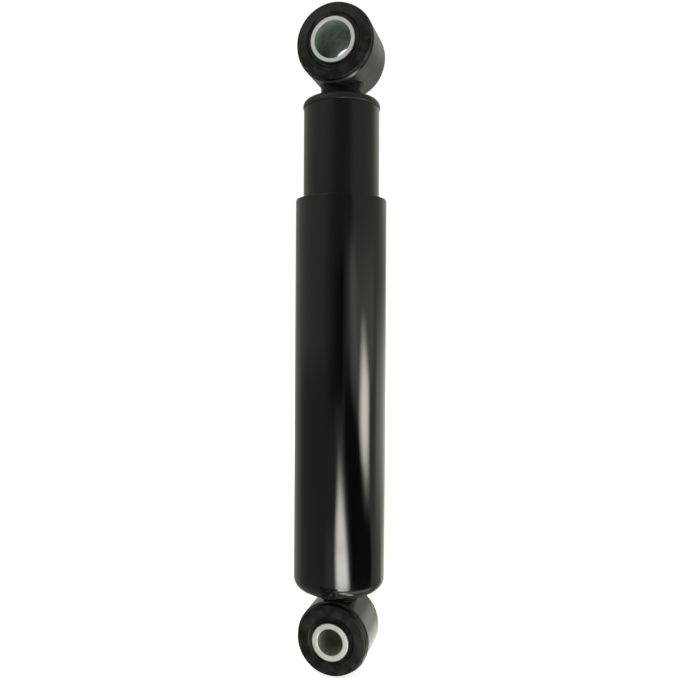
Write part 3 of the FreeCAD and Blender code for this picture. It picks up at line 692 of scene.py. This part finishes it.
def weld_run(radius, floor):
    """Uneven lump, thickest in its middle, that follows the shield's floor, corner and wall."""
    flat = radius - SHIELD_CORNER - RUN_START
    bend = SHIELD_CORNER * math.pi / 2
    bm = bmesh.new()
    skins = ([], [])
    for row in range(RUN_STEPS + 1):
        along = (flat + bend + RUN_RISE) * row / RUN_STEPS
        turn = min(max((along - flat) / SHIELD_CORNER, 0.0), math.pi / 2)
        reach = radius - SHIELD_CORNER * (1 - math.sin(turn)) + min(along - flat, 0.0)
        height = floor + SHIELD_CORNER * (1 - math.cos(turn)) + max(along - flat - bend, 0.0)
        lines = ([], [])
        for column in range(RUN_STEPS + 1):
            heading = math.radians(RUN_HEADING + RUN_SPREAD * (column / RUN_STEPS - 0.5))
            away = Vector((math.sin(heading), -math.cos(heading), 0))
            spot = away * reach + Vector((0, 0, height))
            out = away * math.sin(turn) - Vector((0, 0, math.cos(turn)))
            crown = (1 - (2 * column / RUN_STEPS - 1) ** 2) * (1 - (2 * row / RUN_STEPS - 1) ** 2)
            uneven = RUN_LUMP_MEAN + RUN_LUMP_SWAY * noise.noise(spot / RUN_LUMP_SIZE)
            lines[0].append(bm.verts.new(spot + out * (RUN_LIFT * math.sqrt(crown) * uneven - RUN_SINK)))
            lines[1].append(bm.verts.new(spot - out * RUN_ROOT))
        skins[0].append(lines[0])
        skins[1].append(lines[1])
    for skin in skins:
        for line, following in zip(skin, skin[1:]):
            for i in range(RUN_STEPS):
                bm.faces.new((line[i], line[i + 1], following[i + 1], following[i]))
    rims = []
    for skin in skins:
        rims.append(skin[0][:-1] + [line[-1] for line in skin[:-1]] + skin[-1][:0:-1]
                    + [line[0] for line in skin[:0:-1]])
    count = len(rims[0])
    for i in range(count):
        j = (i + 1) % count
        bm.faces.new((rims[0][i], rims[0][j], rims[1][j], rims[1][i]))
    return finished(bm, "weld run")


def joined(name, meshes):
    """One smooth mesh of several, which it takes the place of."""
    bm = bmesh.new()
    for mesh in meshes:
        bm.from_mesh(mesh)
        bpy.data.meshes.remove(mesh)
    bmesh.ops.recalc_face_normals(bm, faces=bm.faces)
    mesh = bpy.data.meshes.new(name)
    bm.to_mesh(mesh)
    bm.free()
    mesh.shade_smooth()
    return mesh


def eye_weld(eye, foot, flare, side, finish, extras=()):
    """Neck between an eye and its tube, with a rippled bead along each seam."""
    node_name = eye.prefix + "_weld"
    flare_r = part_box(node_name)[1].x
    waist_r = flare_r - flare

    def flank(across):
        return eye.flank(across, side)

    shell = neck_shell(waist_r, flare_r, foot, flank)
    foot_bead = bead_along(circle_of(flare_r, lambda across: foot), BEAD_RIPPLES, finish)
    flank_bead = bead_along(circle_of(waist_r, flank), BEAD_RIPPLES, finish)
    mesh = joined(eye.prefix + "_neck", [shell, foot_bead, flank_bead, *extras])
    object_from(eye.prefix + "_neck", mesh, finish, eye.body, "painted_weld", node_name)


def dress_solids(finishes):
    """Gives every solid the finish of its material slot."""
    for row in frame["record"]["subparts"]:
        solid = frame["nodes"][row["node"]]
        finish = finishes[row["material_slot"]]
        if not solid.material_slots:
            solid.data.materials.append(finish)
        for slot in solid.material_slots:
            slot.material = finish


def live_spring(joint, solid, finish):
    """Copy of a spring's solid, put on the body of its joint's parent in the solid's place."""
    bm = bmesh.new()
    bm.from_mesh(frame["nodes"][solid].data)
    name = solid + "_live"
    piece = object_from(name, finished(bm, name), finish, joint["parent"], "spring_steel", solid)
    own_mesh(piece)


# Studio: each card is given by headings in degrees, heights and its distance from the axis. A heading turns
# from the camera's side towards the right of the view. Strengths are against a white of 1.
SURROUND = 0.50
BACKDROP = 1.05
SURROUND_TINT = (0.955, 1.0, 0.82, 1.0)
LAMP_TINT = (1.0, 0.98, 0.89, 1.0)
FLOOR_REACH = 6.0
FLOOR_COLOUR = (0.9, 0.9, 0.89, 1.0)
FLOOR_GLOW = 0.75
FADE_STEPS = 8
COLUMN_STEP = 12.0
LEVEL_STEP = 1.0


def card_light(name, strength, tint):
    """Light that fades out towards the card's edge, where its glow attribute falls to 0."""
    made = bpy.data.materials.new(name)
    made.use_nodes = True
    tree = made.node_tree
    tree.nodes.clear()
    glow = node(tree, "ShaderNodeAttribute", attribute_name="glow").outputs["Fac"]
    light = node(tree, "ShaderNodeEmission", {"Color": tint, "Strength": strength}).outputs[0]
    clear = tree.nodes.new("ShaderNodeBsdfTransparent").outputs[0]
    mixed = node(tree, "ShaderNodeMixShader", {0: glow, 1: clear, 2: light}).outputs[0]
    out = tree.nodes.new("ShaderNodeOutputMaterial")
    tree.links.new(mixed, out.inputs["Surface"])
    return made


def card(name, rows, strength, tint, distance):
    """Card that the camera doesn't see, from rows of points, each (heading, height, glow)."""
    points, glows, faces = [], [], []
    width = len(rows[0])
    for row in rows:
        for heading, height, glow in row:
            turn = FRONT + math.radians(heading)
            points.append((distance * math.sin(turn), -distance * math.cos(turn), height))
            glows.append(glow)
    for i in range(len(rows) - 1):
        for j in range(width - 1):
            corner = i * width + j
            faces.append((corner, corner + 1, corner + width + 1, corner + width))
    mesh = bpy.data.meshes.new(name)
    mesh.from_pydata(points, [], faces)
    mesh.attributes.new("glow", "FLOAT", "POINT").data.foreach_set("value", glows)
    mesh.materials.append(card_light(name, strength, tint))
    stage_card = bpy.data.objects.new(name, mesh)
    bpy.context.scene.collection.objects.link(stage_card)
    stage_card.visible_camera = False
    stage_card.visible_shadow = False


def faded(first, last, before, after, step):
    """Values from before the first to after the last, each with a glow that fades out in those margins."""
    shares = [i / FADE_STEPS for i in range(FADE_STEPS)]
    rise = [(share, share ** 2 * (3 - 2 * share)) for share in shares]
    count = max(1, math.ceil((last - first) / step))
    line = [(first - before * (1 - share), glow) for share, glow in rise]
    line += [(first + (last - first) * i / count, 1.0) for i in range(count + 1)]
    return line + [(last + after * (1 - share), glow) for share, glow in reversed(rise)]


def panel(name, headings, heights, strength, margins, distance, tint=SURROUND_TINT):
    """Soft card between two headings and two heights. Margins are left, right, below and above."""
    left, right, below, above = margins
    columns = faded(*headings, left, right, COLUMN_STEP)
    levels = faded(*heights, below, above, LEVEL_STEP)
    card(name, [[(heading, height, across * up) for heading, across in columns] for height, up in levels],
         strength, tint, distance)


def strip(name, rows, strength, edge, distance):
    """Card whose sides follow rows of (height, left, right, glow), with soft edges along both sides."""
    lines = []
    for height, left, right, glow in rows:
        inward = min(edge, (right - left) / 2)
        lines.append([(left - edge, height, 0.0), (left + inward, height, glow),
                      (right - inward, height, glow), (right + edge, height, 0.0)])
    card(name, lines, strength, LAMP_TINT, distance)


def surround():
    """Even light from all round, with a white view behind the part."""
    world = bpy.data.worlds.new("surround")
    bpy.context.scene.world = world
    world.use_nodes = True
    tree = world.node_tree
    even = tree.nodes["Background"]
    even.inputs["Color"].default_value = SURROUND_TINT
    even.inputs["Strength"].default_value = SURROUND
    white = node(tree, "ShaderNodeBackground", {"Color": (1, 1, 1, 1), "Strength": BACKDROP}).outputs[0]
    straight = tree.nodes.new("ShaderNodeLightPath").outputs["Is Camera Ray"]
    mixed = node(tree, "ShaderNodeMixShader", {0: straight, 1: even.outputs[0], 2: white}).outputs[0]
    tree.links.new(mixed, tree.nodes["World Output"].inputs["Surface"])


def pale_floor():
    """White floor that gloss doesn't mirror, so that the low lamps still show in the paint."""
    reach, height = FLOOR_REACH, cad_box[0].z
    mesh = bpy.data.meshes.new("floor")
    mesh.from_pydata([(-reach, -reach, height), (reach, -reach, height), (reach, reach, height),
                      (-reach, reach, height)], [], [(0, 1, 2, 3)])
    pale = material_with("pale_floor", Base_Color=FLOOR_COLOUR, Roughness=0.9,
                         Emission_Color=(1.0, 1.0, 1.0, 1.0), Emission_Strength=FLOOR_GLOW)[0]
    mesh.materials.append(pale)
    floor = bpy.data.objects.new("floor", mesh)
    bpy.context.scene.collection.objects.link(floor)
    floor.visible_glossy = False
    floor.visible_shadow = False


def studio():
    """Surround and floor, and the cards that show in the paint as its lights and darks."""
    surround()
    pale_floor()
    panel("dark_front", (2, 3), (0.06, 0.25), strength=0.04, margins=(56, 16, 0.12, 0.20), distance=1.0)
    panel("dim_high", (-10, 20), (0.42, 0.75), strength=0.20, margins=(38, 16, 0.17, 0.30), distance=1.02)
    panel("dim_left", (-106, -14), (-0.36, 0.02), strength=0.30, margins=(18, 6, 0.06, 0.14), distance=1.05)
    strip("dark_right", [(0.14, 14, 24, 0.0), (0.10, 12, 24, 0.5), (0.06, 11, 26, 0.8), (0.02, 11, 32, 0.95),
                         (-0.02, 10, 42, 1.0), (-0.06, 10, 52, 1.0), (-0.10, 10, 60, 1.0),
                         (-0.14, 14, 66, 1.0), (-0.18, 16, 72, 1.0), (-0.22, 22, 82, 1.0),
                         (-0.30, 29, 88, 1.0), (-0.35, 31, 86, 1.0), (-0.37, 31, 86, 0.0)],
          strength=0.03, edge=4, distance=1.0)
    panel("mid_right", (32, 82), (0.10, 0.19), strength=1.0, margins=(14, 16, 0.10, 0.24), distance=1.05)
    strip("thin_light", [(0.37, 26, 36, 0.0), (0.337, 25, 36, 0.2), (0.28, 24, 36, 0.9), (0.22, 24, 38, 0.95),
                         (0.162, 27, 42, 1.0), (0.104, 32, 46, 0.75), (0.065, 36, 50, 0.5),
                         (0.026, 40, 52, 0.35), (-0.013, 43, 54, 0.22), (-0.052, 46, 56, 0.1),
                         (-0.09, 50, 58, 0.0)],
          strength=1.4, edge=7, distance=0.97)
    panel("right_low", (108, 150), (-0.05, 0.0), strength=1.26, margins=(14, 16, 0.30, 0.32),
          distance=1.1, tint=LAMP_TINT)
    panel("right_floor", (138, 172), (-0.90, -0.45), strength=1.45, margins=(14, 8, 0.10, 0.36),
          distance=1.14, tint=LAMP_TINT)
    panel("right_high", (125, 172), (0.75, 1.10), strength=1.05, margins=(20, 8, 0.55, 0.10),
          distance=1.15, tint=LAMP_TINT)
    panel("high_left", (-72, -38), (0.80, 1.10), strength=1.6, margins=(20, 36, 0.15, 0.20), distance=0.95)
    panel("back_lamp", (176, 184), (0.14, 0.24), strength=9.0, margins=(3, 3, 0.10, 0.10), distance=0.95)
    panel("back_strip", (177, 183), (-0.45, -0.22), strength=5.0, margins=(5, 5, 0.10, 0.12), distance=0.93)
    strip("side_lamp", [(0.200, 56, 62, 0.0), (0.181, 55, 63, 0.13), (0.144, 54, 66, 0.38),
                        (0.107, 53, 69, 0.75), (0.071, 52, 73, 0.95), (0.034, 51, 74, 1.0),
                        (-0.003, 51, 74, 1.0), (-0.040, 53, 74, 0.92), (-0.077, 56, 74, 0.67),
                        (-0.114, 61, 75, 0.24), (-0.150, 61, 76, 0.04), (-0.200, 61, 76, 0.0)],
          strength=12.5, edge=6, distance=0.9)
    strip("low_lamp", [(-0.020, -2, 4, 0.0), (-0.040, -2, 4, 0.01), (-0.077, -3, 5, 0.08),
                       (-0.114, -4, 6, 0.33), (-0.150, -5, 9, 0.63), (-0.187, -7, 12, 0.84),
                       (-0.224, -8, 16, 0.87), (-0.243, -8, 18, 0.66), (-0.255, -8, 19, 0.98),
                       (-0.3165, -6, 24, 1.0), (-0.3175, -6, 24, 0.0)],
          strength=15.4, edge=5, distance=0.9)
    panel("low_halo", (-26, -10), (-0.34, -0.26), strength=0.58, margins=(14, 6, 0.02, 0.07), distance=0.95)
    panel("table_left", (-80, -10), (-0.85, -0.42), strength=0.42, margins=(20, 10, 0.05, 0.08),
          distance=0.92)
    panel("table_right", (8, 80), (-0.85, -0.42), strength=1.6, margins=(12, 20, 0.05, 0.08), distance=0.9)
    strip("table_near", [(-0.085, 2, 16, 0.0), (-0.11, 2, 18, 0.9), (-0.15, 4, 20, 1.0), (-0.20, 12, 30, 0.5),
                         (-0.27, 24, 42, 0.7), (-0.36, 30, 50, 1.0), (-0.42, 34, 52, 0.6),
                         (-0.47, 36, 54, 0.0)],
          strength=8.0, edge=5, distance=0.25)


def camera():
    data = bpy.data.cameras.new("camera")
    data.sensor_width = CAMERA_SENSOR
    data.lens = CAMERA_LENS
    data.shift_x, data.shift_y = CAMERA_SHIFT
    data.clip_start = CAMERA_NEAR
    right = Vector((math.cos(FRONT), math.sin(FRONT), 0))
    back = Vector((math.sin(FRONT), -math.cos(FRONT), 0))
    turned_view = Matrix((right, Vector((0, 0, 1)), back)).transposed().to_4x4()
    place = Matrix.Translation(back * CAMERA_DISTANCE + Vector((0, 0, CAMERA_HEIGHT)))
    made = bpy.data.objects.new("camera", data)
    made.matrix_world = place @ turned_view @ Matrix.Rotation(CAMERA_ROLL, 4, "Z")
    bpy.context.scene.collection.objects.link(made)
    bpy.context.scene.camera = made


finishes = {"gloss_black": gloss_black(), "satin_black": satin_black(), "painted_weld": painted_weld(),
            "rubber": rubber(), "zinc_steel": zinc_steel("zinc_steel", rod_eye, ROD_PLATING, ROD_BORE_SHADE),
            "hard_chrome": hard_chrome(), "bright_steel": bright_steel(), "spring_steel": spring_steel(),
            "sintered_iron": sintered_iron(), "bearing_bronze": bearing_bronze(),
            "fluoropolymer": fluoropolymer()}
dress_solids(finishes)

dust_shield(finishes["gloss_black"])
reservoir_tube(finishes["satin_black"])
base_cap(cap_black())
shield_floor, shield_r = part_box("dust_shield")[0].z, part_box("dust_shield")[1].x
run = weld_run(shield_r, shield_floor)
eye_weld(rod_eye, shield_floor, ROD_NECK_FLARE, 1, finishes["painted_weld"], [run])
eye_weld(base_eye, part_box("base_cap")[1].z, BASE_NECK_FLARE, -1, finishes["painted_weld"])
eye_looks = ((rod_eye, ROD_RING_DULLNESS, ROD_RING_SHINE, ROD_PLATING, ROD_BORE_SHADE),
             (base_eye, BASE_RING_DULLNESS, BASE_RING_SHINE, BASE_PLATING, BASE_BORE_SHADE))
for eye, dullness, shine, plating, bore_shade in eye_looks:
    eye.ring(ring_black(eye, dullness, shine))
    eye.bush(finishes["rubber"])
    eye.sleeve(zinc_steel("zinc_steel_" + eye.prefix, eye, plating, bore_shade))

for joint in frame["joints"]:
    for row in joint.get("deforming_nodes", ()):
        live_spring(joint, row["node"], finishes["spring_steel"])

studio()
camera()
bpy.context.scene.view_settings.view_transform = "Standard"
